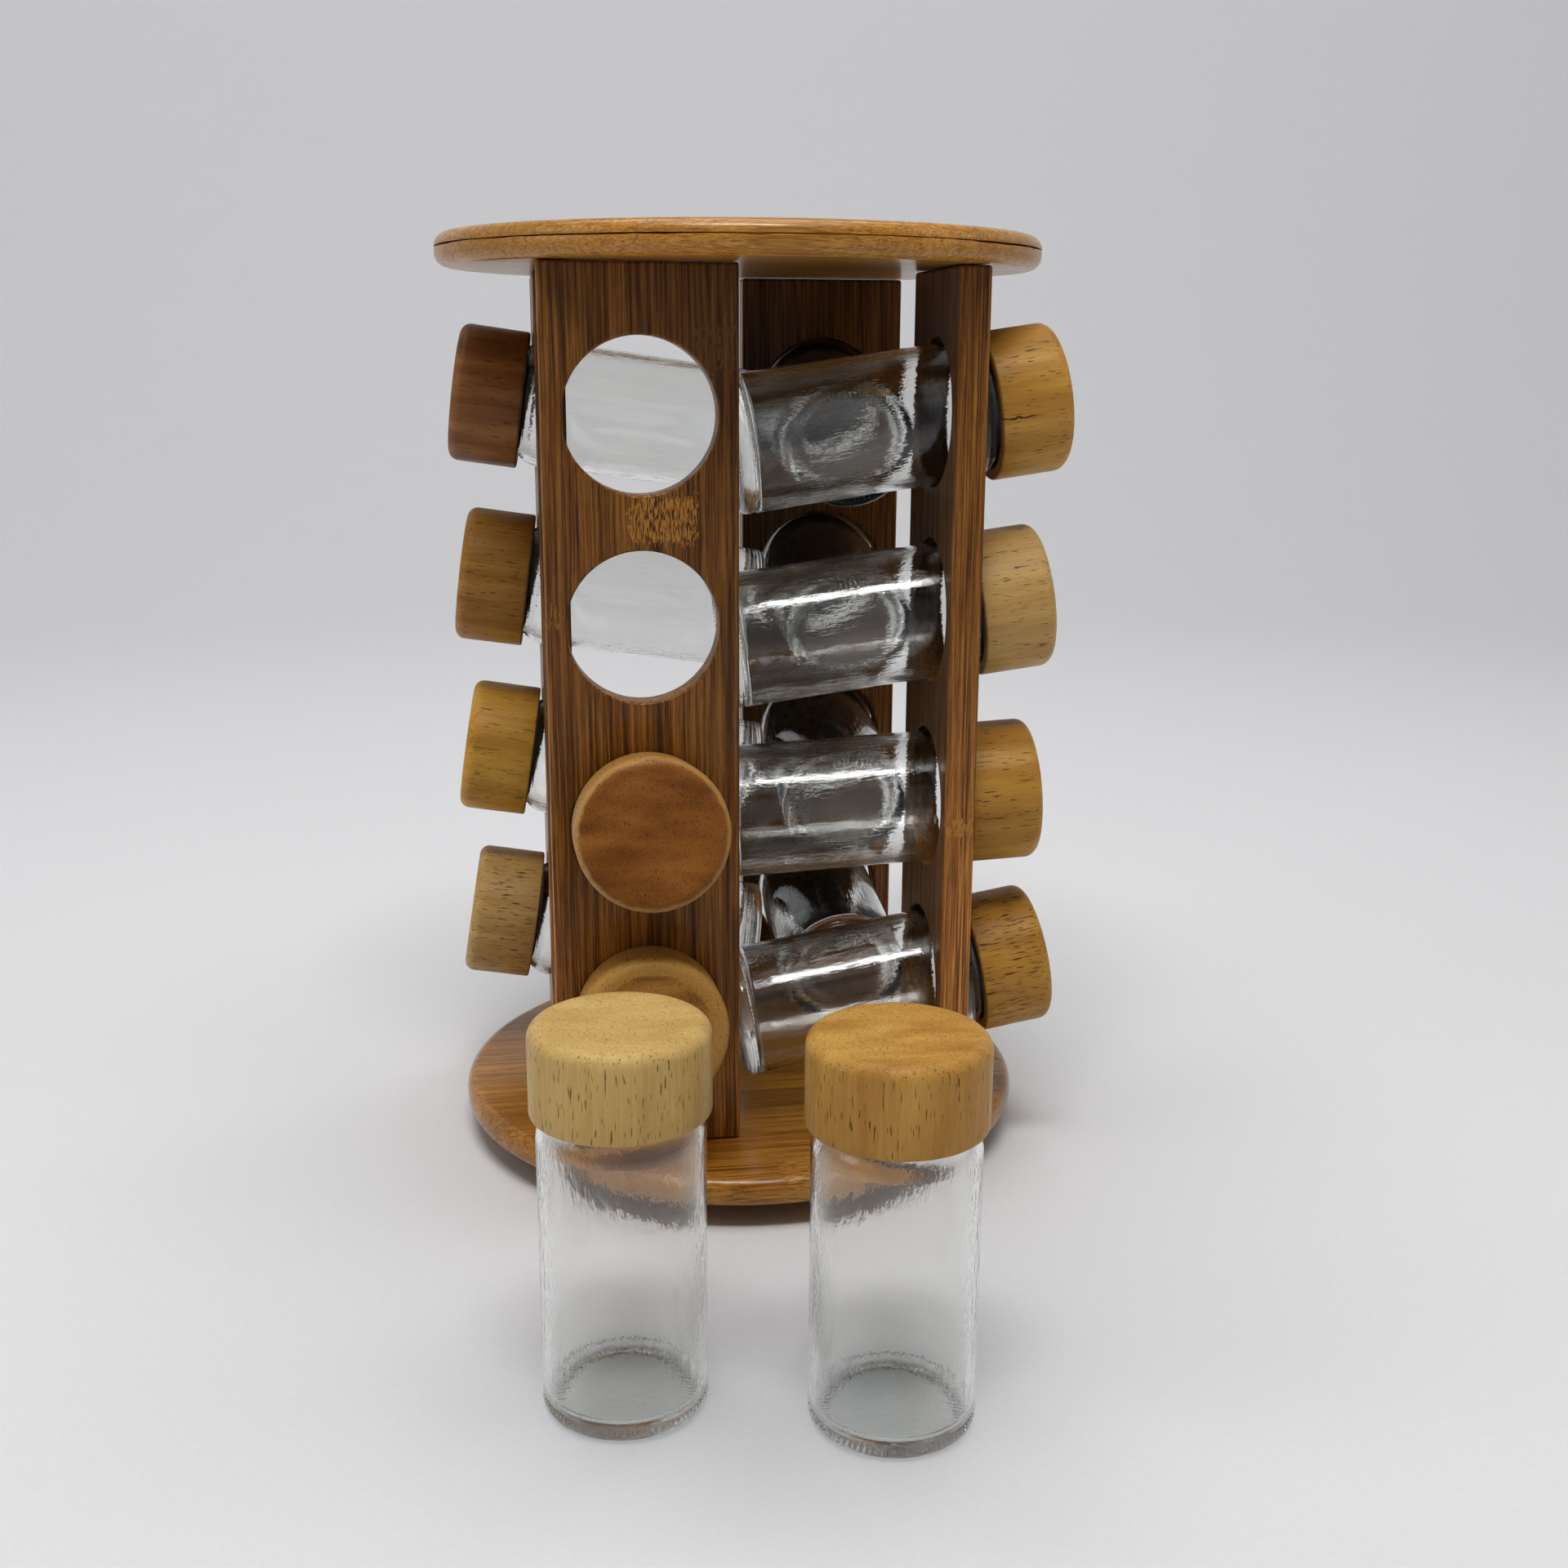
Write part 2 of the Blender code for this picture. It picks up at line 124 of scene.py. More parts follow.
class Graph:
    """One material's node tree, built a call at a time."""

    def __init__(self, name):
        self.material = bpy.data.materials.new(name)
        self.material.use_nodes = True
        self.tree = self.material.node_tree
        self.tree.nodes.clear()
        self.output = self.tree.nodes.new("ShaderNodeOutputMaterial")

    def node(self, kind, inputs=None, **settings):
        made = self.tree.nodes.new("ShaderNode" + kind)
        for key, value in settings.items():
            setattr(made, key, value)
        for key, value in (inputs or {}).items():
            self.feed(made.inputs[key], value)
        return made

    def feed(self, socket, value):
        if isinstance(value, bpy.types.NodeSocket):
            self.tree.links.new(value, socket)
        else:
            socket.default_value = value

    def place(self):
        """The piece's own coordinates, in millimetres."""
        coordinates = self.node("TexCoord").outputs["Object"]
        return self.stretch(coordinates, (1000, 1000, 1000))

    def stretch(self, vector, scale, shift=(0, 0, 0)):
        return self.node(
            "Mapping", {"Vector": vector, "Scale": scale, "Location": shift}
        ).outputs[0]

    def split(self, vector):
        return self.node("SeparateXYZ", {0: vector}).outputs[:]

    def join(self, x, y, z):
        return self.node("CombineXYZ", {0: x, 1: y, 2: z}).outputs[0]

    def math(self, operation, *values):
        return self.node("Math", dict(enumerate(values)), operation=operation).outputs[0]

    def noise(self, vector, scale=1.0, detail=2.0, roughness=0.5, distortion=0.0):
        inputs = {
            "Vector": vector,
            "Scale": scale,
            "Detail": detail,
            "Roughness": roughness,
            "Distortion": distortion,
        }
        return self.node("TexNoise", inputs).outputs[0]

    def cells(self, value, edges=False):
        """One-dimensional cells: a random number for each, or the distance to the nearest edge."""
        if edges:
            made = self.node(
                "TexVoronoi",
                {"W": value, "Scale": 1.0},
                voronoi_dimensions="1D",
                feature="DISTANCE_TO_EDGE",
            )
            return made.outputs["Distance"]
        made = self.node("TexVoronoi", {"W": value, "Scale": 1.0}, voronoi_dimensions="1D")
        return self.node("SeparateColor", {0: made.outputs["Color"]}).outputs[0]

    def from_axis(self, x, y):
        """Distance from the Z axis."""
        square = self.math("MULTIPLY", x, x)
        return self.math("SQRT", self.math("ADD", square, self.math("MULTIPLY", y, y)))

    def remap(self, value, low, high, out_low=0.0, out_high=1.0):
        inputs = {0: value, 1: low, 2: high, 3: out_low, 4: out_high}
        return self.node("MapRange", inputs).outputs[0]

    def ramp(self, value, stops):
        made = self.node("ValToRGB", {0: value})
        ramp = made.color_ramp
        while len(ramp.elements) < len(stops):
            ramp.elements.new(0.5)
        for element, (position, colour) in zip(ramp.elements, stops):
            element.position = position
            element.color = (*colour, 1.0)
        return made.outputs[0]

    def mix(self, share, first, second, blend="MIX"):
        made = self.node("Mix", data_type="RGBA", blend_type=blend)
        for index, value in ((0, share), (6, first), (7, second)):
            if isinstance(value, tuple):
                value = (*value, 1.0)
            self.feed(made.inputs[index], value)
        return made.outputs[2]

    def dim(self, colour, share):
        """The colour multiplied by a number that varies over the surface."""
        grey = self.node("CombineColor", {0: share, 1: share, 2: share}).outputs[0]
        return self.mix(1.0, colour, grey, "MULTIPLY")

    def bump(self, height, distance, strength, normal=None):
        inputs = {"Height": height, "Distance": distance, "Strength": strength}
        if normal is not None:
            inputs["Normal"] = normal
        return self.node("Bump", inputs).outputs[0]

    def finish(self, **inputs):
        """A Principled shader on the output, with inputs named by their labels."""
        shader = self.node("BsdfPrincipled")
        for key, value in inputs.items():
            socket = shader.inputs[key.replace("_", " ").title().replace("Ior", "IOR")]
            if isinstance(value, tuple):
                value = (*value, 1.0)
            self.feed(socket, value)
        self.tree.links.new(shader.outputs[0], self.output.inputs["Surface"])
        return shader


# ---------------------------------------------------------------------------------------------
# Materials
# ---------------------------------------------------------------------------------------------


def soft_box(g, across, along, centre, half):
    """1 inside a box with ragged edges, 0 outside."""
    ragged = g.noise(g.join(across, along, 3.7), 0.9, 2.0)
    ragged = g.remap(ragged, 0.3, 0.7, -1.6, 1.6)
    shares = []
    for value, middle, reach, blur in (
        (across, centre[0], half[0], 0.8),
        (along, centre[1], half[1], 2.5),
    ):
        away = g.math("ABSOLUTE", g.math("SUBTRACT", value, middle))
        away = g.math("ADD", away, ragged)
        shares.append(g.remap(away, reach - blur, reach + blur, 1.0, 0.0))
    return g.math("MULTIPLY", *shares)


def bamboo(
    name,
    colours,
    along,
    seed,
    strip=6.5,
    fibre=0.62,
    patches=(),
    strip_tone=0.1,
    gloss=0.4,
    coat=0.25,
    painted_edge_light=False,
    shade=None,
):
    """Laminated bamboo: glued strips, fine dark fibres, and patches of short dashes at the nodes.

    colours are dark, middle and light. along names the axis the fibres follow, strip is the width
    of a strip and fibre that of a fibre. patches lists (across, along, half width, half height,
    lightness). shade is (start, end, tone at start, tone at end) along the fibres: painted light
    and shade. painted_edge_light lightens what doesn't face along the piece's Y, the edges and hole
    walls: painted highlight. Lengths are millimetres on the piece's own axes.
    """
    g = Graph(name)
    x, y, z = g.split(g.place())
    across, through, length = {"Z": (x, y, z), "X": (y, z, x), "Y": (x, z, y)}[along]

    sway = g.noise(g.join(seed, through, g.math("MULTIPLY", length, 0.012)), 1.0, 2.0)
    bent = g.math("ADD", across, g.remap(sway, 0.3, 0.7, -0.5, 0.5))
    strips = g.math("MULTIPLY_ADD", bent, 1.0 / strip, seed * 3.1)
    tone = g.cells(strips)
    seam = g.remap(g.cells(strips, edges=True), 0.0, 0.035, 0.72, 1.0)

    def fibres(width, reach, detail, shift):
        line = g.join(
            g.math("MULTIPLY_ADD", bent, 1.0 / width, shift + seed),
            g.math("MULTIPLY", through, 1.0 / width),
            g.math("MULTIPLY_ADD", length, 1.0 / reach, seed),
        )
        return g.noise(line, 1.0, detail, 0.6)

    broad = fibres(2.6 * fibre, 130.0, 3.0, 0.0)
    fine = fibres(fibre, 38.0, 3.0, 17.0)
    hair = fibres(0.5 * fibre, 8.0, 2.0, 41.0)
    figure = g.math("MULTIPLY", broad, 0.6)
    figure = g.math("MULTIPLY_ADD", g.math("SUBTRACT", fine, 0.5), 0.9, figure)
    dark, middle, light = colours
    colour = g.ramp(figure, [(0.14, dark), (0.3, middle), (0.46, light)])
    colour = g.dim(colour, g.remap(tone, 0.0, 1.0, 1.0 - strip_tone, 1.0 + strip_tone))
    colour = g.dim(colour, seam)
    colour = g.dim(colour, g.remap(hair, 0.34, 0.46, 0.64, 1.0))
    clouds = g.noise(g.join(across, through, g.math("MULTIPLY", length, 0.5)), 0.03, 2.0)
    colour = g.dim(colour, g.remap(clouds, 0.3, 0.7, 0.9, 1.1))

    for centre_across, centre_along, half_width, half_height, lightness in patches:
        inside = soft_box(
            g, across, length, (centre_across, centre_along), (half_width, half_height)
        )
        dashes = fibres(0.5, 3.4, 1.0, 63.0 + centre_along)
        share = g.math("MULTIPLY_ADD", inside, 0.16, dashes)
        share = g.math("MULTIPLY", g.remap(share, 0.62, 0.67), inside)
        colour = g.dim(colour, g.remap(inside, 0.0, 1.0, 1.0, 0.84))
        colour = g.mix(share, colour, tuple(channel * lightness for channel in light))

    # Painted light and shade: the colour is scaled by a tone that changes along the fibres
    if shade:
        colour = g.dim(colour, g.remap(length, *shade))
    # Painted highlight: what doesn't face along the piece's Y, the edges and hole walls, is
    # lightened
    if painted_edge_light:
        facing = g.math("ABSOLUTE", g.split(g.node("TexCoord").outputs["Normal"])[1])
        colour = g.dim(colour, g.remap(facing, 0.6, 0.95, 1.35, 1.0))

    normal = g.bump(figure, 0.05 * MM, 0.6)
    normal = g.bump(hair, 0.03 * MM, 0.5, normal)
    g.finish(
        base_color=colour,
        roughness=g.remap(figure, 0.2, 0.4, gloss + 0.08, gloss - 0.05),
        specular_ior_level=0.3,
        coat_weight=coat,
        coat_roughness=0.16,
        normal=normal,
    )
    return g.material


CRACK_REACH = (14.0, 20.0)  # distance from the axis where a cap's crack fades in
CRACK_FOOT = (93.0, 98.0)  # height where it fades out


def cap_wood(name, colours, seed, ring=None, pores=0.335, crack=None):
    """Turned rubberwood with fibres along the cap: dark pore dashes, bands and turning marks.

    ring is (radius in millimetres, colour) of a lighter rim on the face. More of the surface is
    pores as pores grows. crack is the angle in degrees of a drying crack in the side, a dent in the
    bump with painted shade along it.
    """
    g = Graph(name)
    place = g.place()
    x, y, z = g.split(place)
    low, middle, high = colours
    bands = g.noise(
        g.stretch(place, (0.045, 0.15, 0.02), (seed, seed * 2.3, 0)), 1.0, 2.0, 0.5, 0.3
    )
    colour = g.ramp(bands, [(0.3, low), (0.5, middle), (0.7, high)])
    grain = g.noise(g.stretch(place, (1.3, 1.3, 0.05), (seed, 0, seed)), 1.0, 3.0, 0.6)
    colour = g.dim(colour, g.remap(grain, 0.3, 0.7, 0.9, 1.08))
    radius = g.from_axis(x, y)
    if ring:
        start, tint = ring
        ragged = g.math("MULTIPLY_ADD", g.noise(place, 0.25, 2.0), 1.6, -0.8)
        edge = g.math("ADD", radius, ragged)
        colour = g.mix(g.remap(edge, start - 0.5, start + 0.5), colour, tint)
    dashes = g.noise(g.stretch(place, (2.1, 2.1, 0.2), (seed * 5, seed, 0)), 1.0, 1.0, 0.5)
    pore = g.remap(dashes, pores - 0.04, pores + 0.01, 1.0, 0.0)
    colour = g.mix(g.math("MULTIPLY", pore, 0.9), colour, tuple(c * 0.2 for c in low))
    height = g.math("MULTIPLY_ADD", pore, -1.0, grain)
    if crack is not None:
        cosine, sine = math.cos(math.radians(crack)), math.sin(math.radians(crack))
        wander = g.math("MULTIPLY_ADD", g.noise(place, 0.3, 3.0), 2.4, -1.2)
        side = g.math("ADD", g.math("MULTIPLY", x, -sine), g.math("MULTIPLY", y, cosine))
        side = g.math("ABSOLUTE", g.math("ADD", side, wander))
        outward = g.math("ADD", g.math("MULTIPLY", x, cosine), g.math("MULTIPLY", y, sine))
        line = g.remap(side, 0.1, 0.32, 1.0, 0.0)
        line = g.math("MULTIPLY", line, g.remap(outward, *CRACK_REACH))
        line = g.math("MULTIPLY", line, g.remap(z, *CRACK_FOOT, 1.0, 0.0))
        # Painted shade: the crack is drawn near black, for the shade inside it
        colour = g.mix(line, colour, tuple(c * 0.1 for c in low))
        height = g.math("MULTIPLY_ADD", line, -3.0, height)
    turning = g.noise(g.join(radius, 0.0, z), 2.2, 2.0)
    normal = g.bump(height, 0.05 * MM, 0.7)
    normal = g.bump(turning, 0.03 * MM, 0.4, normal)
    g.finish(
        base_color=colour,
        roughness=g.remap(grain, 0.3, 0.7, 0.5, 0.4),
        specular_ior_level=0.3,
        normal=normal,
    )
    return g.material


GLASS_TINT = (0.968, 0.973, 0.963)
GLASS_LAMP_TINT = (0.95, 0.96, 0.955, 1.0)
MILKY_DARK, MILKY_LIGHT = (0.62, 0.63, 0.62), (0.8, 0.81, 0.8)
STEEL_STAINED, STEEL_CLEAN = (0.42, 0.41, 0.39), (0.62, 0.62, 0.61)
RUBBER_CLEAN, RUBBER_DUSTY = (0.018, 0.018, 0.018), (0.05, 0.048, 0.045)
PAPER_DARK, PAPER_LIGHT = (0.765, 0.765, 0.775), (0.785, 0.785, 0.795)


def glass():
    """Clear pressed glass with the slight waviness of its surface."""
    g = Graph("clear_glass_look")
    place = g.place()
    waves = g.noise(g.stretch(place, (0.5, 0.5, 0.12)), 1.0, 3.0, 0.6)
    skin = g.noise(g.stretch(place, (1.0, 1.0, 0.6)), 1.2, 2.0)
    ripples = g.noise(g.stretch(place, (0.8, 0.8, 0.3), (5, 3, 8)), 1.0, 2.0, 0.6)
    normal = g.bump(waves, 0.16 * MM, 0.5)
    normal = g.bump(ripples, 0.06 * MM, 0.5, normal)
    normal = g.bump(skin, 0.02 * MM, 0.5, normal)
    shader = g.finish(
        base_color=GLASS_TINT,
        roughness=0.0,
        ior=1.5,
        transmission_weight=1.0,
        normal=normal,
    )
    # Lamps shine through it, so that what stands behind isn't black
    clear = g.node("BsdfTransparent", {"Color": GLASS_LAMP_TINT})
    shadow = g.node("LightPath").outputs["Is Shadow Ray"]
    both = g.node("MixShader", {0: shadow, 1: shader.outputs[0], 2: clear.outputs[0]})
    g.tree.links.new(both.outputs[0], g.output.inputs["Surface"])
    return g.material


def plastic():
    """Milky moulded plastic of the sifters."""
    g = Graph("sifter_plastic_look")
    place = g.place()
    mottle = g.noise(place, 0.4, 3.0)
    colour = g.ramp(mottle, [(0.3, MILKY_DARK), (0.7, MILKY_LIGHT)])
    g.finish(
        base_color=colour,
        roughness=g.remap(mottle, 0.3, 0.7, 0.42, 0.3),
        transmission_weight=0.35,
        normal=g.bump(g.noise(place, 3.0, 2.0), 0.02 * MM, 0.4),
    )
    return g.material


def steel():
    """Stamped steel, brushed round its axis, with faint stains."""
    g = Graph("steel_look")
    place = g.place()
    x, y, z = g.split(place)
    radius = g.from_axis(x, y)
    brushed = g.noise(g.join(radius, 0.0, z), 3.0, 3.0, 0.7)
    stains = g.noise(place, 0.06, 4.0, 0.6)
    colour = g.ramp(stains, [(0.35, STEEL_STAINED), (0.6, STEEL_CLEAN)])
    g.finish(
        base_color=g.dim(colour, g.remap(brushed, 0.3, 0.7, 0.85, 1.1)),
        metallic=1.0,
        roughness=g.remap(brushed, 0.3, 0.7, 0.28, 0.45),
        normal=g.bump(brushed, 0.02 * MM, 0.5),
    )
    return g.material


def rubber():
    """Black rubber with a fine moulded grain and dusty patches."""
    g = Graph("rubber_look")
    place = g.place()
    dust = g.noise(place, 0.08, 4.0, 0.6)
    colour = g.ramp(dust, [(0.4, RUBBER_CLEAN), (0.7, RUBBER_DUSTY)])
    g.finish(
        base_color=colour,
        roughness=g.remap(dust, 0.3, 0.7, 0.7, 0.9),
        normal=g.bump(g.noise(place, 4.0, 2.0), 0.05 * MM, 0.6),
    )
    return g.material


def paper():
    """The pale studio sweep."""
    g = Graph("studio_sweep")
    tooth = g.noise(g.place(), 0.5, 3.0)
    colour = g.ramp(tooth, [(0.3, PAPER_DARK), (0.7, PAPER_LIGHT)])
    g.finish(base_color=colour, roughness=0.8)
    return g.material


# ---------------------------------------------------------------------------------------------
# Shapes
# ---------------------------------------------------------------------------------------------


def shaded(mesh, angle=35.0):
    mesh.shade_smooth()
    mesh.set_sharp_from_angle(angle=math.radians(angle))
    return mesh


def linked(name, mesh):
    obj = bpy.data.objects.new(name, mesh)
    bpy.context.scene.collection.objects.link(obj)
    return obj


def baked(obj, name):
    """The object's mesh with its modifiers applied; the object is removed."""
    graph = bpy.context.evaluated_depsgraph_get()
    mesh = bpy.data.meshes.new_from_object(obj.evaluated_get(graph), depsgraph=graph)
    mesh.name = name
    bpy.data.objects.remove(obj)
    return mesh


def arc(radius, height, size, start, end, steps=5):
    """Points of a rounded corner about (radius, height). Angles are in degrees from outwards."""
    points = []
    for i in range(steps + 1):
        angle = math.radians(start + (end - start) * i / steps)
        points.append((radius + size * math.cos(angle), height + size * math.sin(angle)))
    return points


def lathe(name, profile, segments, change=None):
    """A closed solid turned about Z from (radius, z) points in millimetres.

    The profile runs from the axis round to the axis, or is closed on itself. change(row, angle,
    radius, z) may move a point.
    """
    vertices, rings, faces = [], [], []
    for row, (radius, z) in enumerate(profile):
        first = len(vertices)
        if radius == 0:
            vertices.append((0.0, 0.0, z * MM))
            rings.append([first])
            continue
        for i in range(segments):
            angle = math.tau * i / segments
            moved = change(row, angle, radius, z) if change else (radius, z)
            vertices.append(
                (moved[0] * math.cos(angle) * MM, moved[0] * math.sin(angle) * MM, moved[1] * MM)
            )
        rings.append(list(range(first, first + segments)))
    if profile[0][0] > 0:
        rings.append(rings[0])
    for a, b in zip(rings, rings[1:]):
        for i in range(segments):
            j = (i + 1) % segments
            if len(a) == 1:
                faces.append((a[0], b[i], b[j]))
            elif len(b) == 1:
                faces.append((a[i], b[0], a[j]))
            else:
                faces.append((a[i], b[i], b[j], a[j]))
    mesh = bpy.data.meshes.new(name)
    mesh.from_pydata(vertices, [], faces)
    bm = bmesh.new()
    bm.from_mesh(mesh)
    bmesh.ops.recalc_face_normals(bm, faces=bm.faces)
    bm.to_mesh(mesh)
    bm.free()
    return shaded(mesh)


def drilled(mesh, name, centres, radius, depth, turn, segments):
    """The mesh with round holes cut through it."""
    body = linked(name, mesh)
    cutter_mesh = bpy.data.meshes.new(name + "_holes")
    bm = bmesh.new()
    for centre in centres:
        bmesh.ops.create_cone(
            bm,
            cap_ends=True,
            segments=segments,
            radius1=radius,
            radius2=radius,
            depth=depth,
            matrix=Matrix.Translation(centre) @ turn,
        )
    bm.to_mesh(cutter_mesh)
    bm.free()
    cutter = linked(name + "_holes", cutter_mesh)
    cut = body.modifiers.new("holes", "BOOLEAN")
    cut.operation = "DIFFERENCE"
    cut.solver = "EXACT"
    cut.object = cutter
    result = baked(body, name)
    bpy.data.objects.remove(cutter)
    return result


def show(name, mesh, material, matrix, body, slot, nodes):
    """One piece, in place, riding on its body and standing for its CAD node."""
    obj = linked(name, mesh)
    if not mesh.materials:
        mesh.materials.append(None)
    obj.material_slots[0].link = "OBJECT"
    obj.material_slots[0].material = material
    obj.matrix_world = matrix
    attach(obj, body)
    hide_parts(*nodes)
    return obj


# ---------------------------------------------------------------------------------------------
# Discs
# ---------------------------------------------------------------------------------------------


def disc_profile(bottom, top, radius, extra=()):
    """From the top's middle over the rounded edge to the bottom's middle, in millimetres."""
    flat = radius - DISC_ROUND
    points = [(0.0, top), (flat * 0.5, top), (flat, top)]
    points += arc(flat, top - DISC_ROUND, DISC_ROUND, 90, 0, 7)[1:]
    points += list(extra)
    points += arc(flat, bottom + DISC_ROUND, DISC_ROUND, 0, -90, 7)
    points += [(flat * 0.5, bottom), (0.0, bottom)]
    return points


def crack_at(angle):
    """How open the glue line round the top disc is at an angle, up to 1."""
    turn = Vector((math.cos(angle), math.sin(angle), 0))
    broad = noise.noise(turn * 2.6 + Vector((1.3, 4.1, 0)))
    small = noise.noise(turn * 14.0 + Vector((7.0, 2.0, 0)))
    return max(0.35, min(1.0, 0.6 + 1.5 * broad + 0.7 * small))


TOP_BAMBOO = ((0.30, 0.125, 0.02), (0.48, 0.228, 0.04), (0.62, 0.33, 0.07))
BASE_BAMBOO = ((0.20, 0.078, 0.011), (0.40, 0.173, 0.025), (0.55, 0.27, 0.046))
BASE_PATCHES = ((-96.0, 14.0, 12.0, 14.0, 0.9),)


def build_discs():
    low, high = (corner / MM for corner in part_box("top_disc"))
    middle = high.z - CRACK_LEVEL * (high.z - low.z)
    radius = high.x
    lips = [(radius, middle + LIP_OUTER), (radius, middle + LIP_INNER)]
    lips += [(radius - CRACK_DEPTH, middle)]
    lips += [(radius, middle - LIP_INNER), (radius, middle - LIP_OUTER)]
    profile = disc_profile(low.z, high.z, radius, lips)
    rows = {profile.index(point): point for point in lips}

    def open_crack(row, angle, r, z):
        if row not in rows:
            return r, z
        turn = Vector((math.cos(angle), math.sin(angle), 0))
        sway = 0.35 * noise.noise(turn * 5.0) + 0.2 * noise.noise(turn * 23.0)
        gape = crack_at(angle)
        if r < radius:
            return radius - 0.05 - CRACK_DEPTH * gape, middle + sway
        chipped = 0.15 * gape if abs(z - middle) < (LIP_INNER + LIP_OUTER) / 2 else 0.0
        return r - chipped, middle + sway + (z - middle) * (0.55 + 1.0 * gape)

    mesh = lathe("top_disc_fine", profile, DISC_SEGMENTS, open_crack)
    top = bamboo(
        "bamboo_top_look",
        TOP_BAMBOO,
        "X",
        seed=2.0,
        fibre=0.36,
        strip_tone=0.08,
        gloss=0.34,
        coat=0.45,
    )
    show("top_disc_fine", mesh, top, Matrix.Identity(4), "rack", "bamboo_top", ["top_disc"])

    low, high = (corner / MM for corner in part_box("base_disc"))
    bore_top = low.z + PIN_BORE_DEPTH
    bore = [(PIN_BORE_RADIUS, low.z), (PIN_BORE_RADIUS, bore_top), (0.0, bore_top)]
    profile = disc_profile(low.z, high.z, high.x)[:-2] + [(high.x / 2, low.z)] + bore
    mesh = lathe("base_disc_fine", profile, DISC_SEGMENTS)
    base = bamboo(
        "bamboo_base_look",
        BASE_BAMBOO,
        "X",
        seed=5.0,
        strip=12.0,
        fibre=0.5,
        patches=BASE_PATCHES,
        gloss=0.3,
        coat=0.4,
    )
    show("base_disc_fine", mesh, base, Matrix.Identity(4), "rack", "bamboo_base", ["base_disc"])


# ---------------------------------------------------------------------------------------------
# Panels
# ---------------------------------------------------------------------------------------------


def hole_heights(node):
    """The heights of a panel's round holes, and their radius, from its CAD mesh."""
    low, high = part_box(node)
    edge = 2 * MM  # leaves out the panel's outline
    heights = sorted(
        v.co.z
        for v in frame["nodes"][node].data.vertices
        if low.x + edge < v.co.x < high.x - edge and low.z + edge < v.co.z < high.z - edge
    )
    groups = [[heights[0]]]
    for height in heights[1:]:
        if height - groups[-1][-1] > HOLE_GAP:
            groups.append([])
        groups[-1].append(height)
    return [(g[0] + g[-1]) / 2 for g in groups], (groups[0][-1] - groups[0][0]) / 2


PANEL_BAMBOO = ((0.07, 0.025, 0.004), (0.21, 0.082, 0.013), (0.36, 0.165, 0.032))
# Painted shade under the top disc and painted light near the base: tone 1.5 at 30 mm, 0.8 from 210
# mm up
PANEL_PAINTED_SHADE = (30.0, 210.0, 1.5, 0.8)
PANEL_PATCHES = {
    "front": (
        (-32.5, 224.5, 10.5, 8.0, 1.5),
        (-16.5, 275.0, 6.5, 8.0, 0.55),
        (-66.0, 196.0, 2.4, 5.0, 0.9),
    ),
    "right": ((-68.0, 124.0, 4.0, 4.0, 0.9), (-20.0, 60.0, 6.0, 7.0, 0.8)),
    "back": ((-52.0, 150.0, 8.0, 7.0, 0.9),),
    "left": ((-24.0, 200.0, 7.0, 6.0, 0.9), (-60.0, 96.0, 5.0, 8.0, 0.8)),
}


def build_panels():
    low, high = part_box("panel_front")
    size = high - low
    centre = (low + high) / 2
    heights, radius = hole_heights("panel_front")
    mesh = bpy.data.meshes.new("panel_blank")
    bm = bmesh.new()
    bmesh.ops.create_cube(bm, size=1.0)
    bmesh.ops.scale(bm, vec=size, verts=bm.verts)
    bmesh.ops.translate(bm, vec=centre, verts=bm.verts)
    bm.to_mesh(mesh)
    bm.free()
    holes = [Vector((centre.x, centre.y, z)) for z in heights]
    lie_down = Matrix.Rotation(math.pi / 2, 4, "X")
    mesh = drilled(mesh, "panel_drilled", holes, radius, 2 * size.y, lie_down, HOLE_SEGMENTS)
    blank = linked("panel_edges", mesh)
    bevel = blank.modifiers.new("edges", "BEVEL")
    bevel.width = PANEL_BEVEL
    bevel.segments = 3
    bevel.limit_method = "ANGLE"
    bevel.angle_limit = math.radians(60)
    mesh = shaded(baked(blank, "panel_fine"), 40.0)
    for quarter, side in enumerate(SIDES):
        # Each panel gets a painted highlight on its edges and painted light and shade along its
        # height
        material = bamboo(
            f"bamboo_panel_{side}",
            PANEL_BAMBOO,
            "Z",
            seed=quarter * 1.7,
            patches=PANEL_PATCHES[side],
            painted_edge_light=True,
            shade=PANEL_PAINTED_SHADE,
        )
        turn = Matrix.Rotation(quarter * math.pi / 2, 4, "Z")
        obj = show(
            f"panel_{side}_fine", mesh, material, turn, "rack", "bamboo_panel", [f"panel_{side}"]
        )
        weigh = obj.modifiers.new("flat_faces", "WEIGHTED_NORMAL")
        weigh.keep_sharp = True
        weigh.weight = 100


# ---------------------------------------------------------------------------------------------
# Jars
# ---------------------------------------------------------------------------------------------


def jar_matrix(label):
    """Where the jar stands: its own Z runs from base to mouth, and its own X is level."""
    axis = next(
        Vector(j["axis"]).normalized() for j in frame["joints"] if j["child"] == "jar_" + label
    )
    level = axis.cross(Vector((0, 0, 1)))
    level = level.normalized() if level.length > 0.01 else Vector((1, 0, 0))
    third = axis.cross(level)
    points = [v.co for v in frame["nodes"]["glass_" + label].data.vertices]

    def middle(direction):
        reach = [p.dot(direction) for p in points]
        return (min(reach) + max(reach)) / 2

    origin = level * middle(level) + third * middle(third)
    origin += axis * min(p.dot(axis) for p in points)
    matrix = Matrix((level, third, axis)).transposed().to_4x4()
    matrix.translation = origin
    return matrix


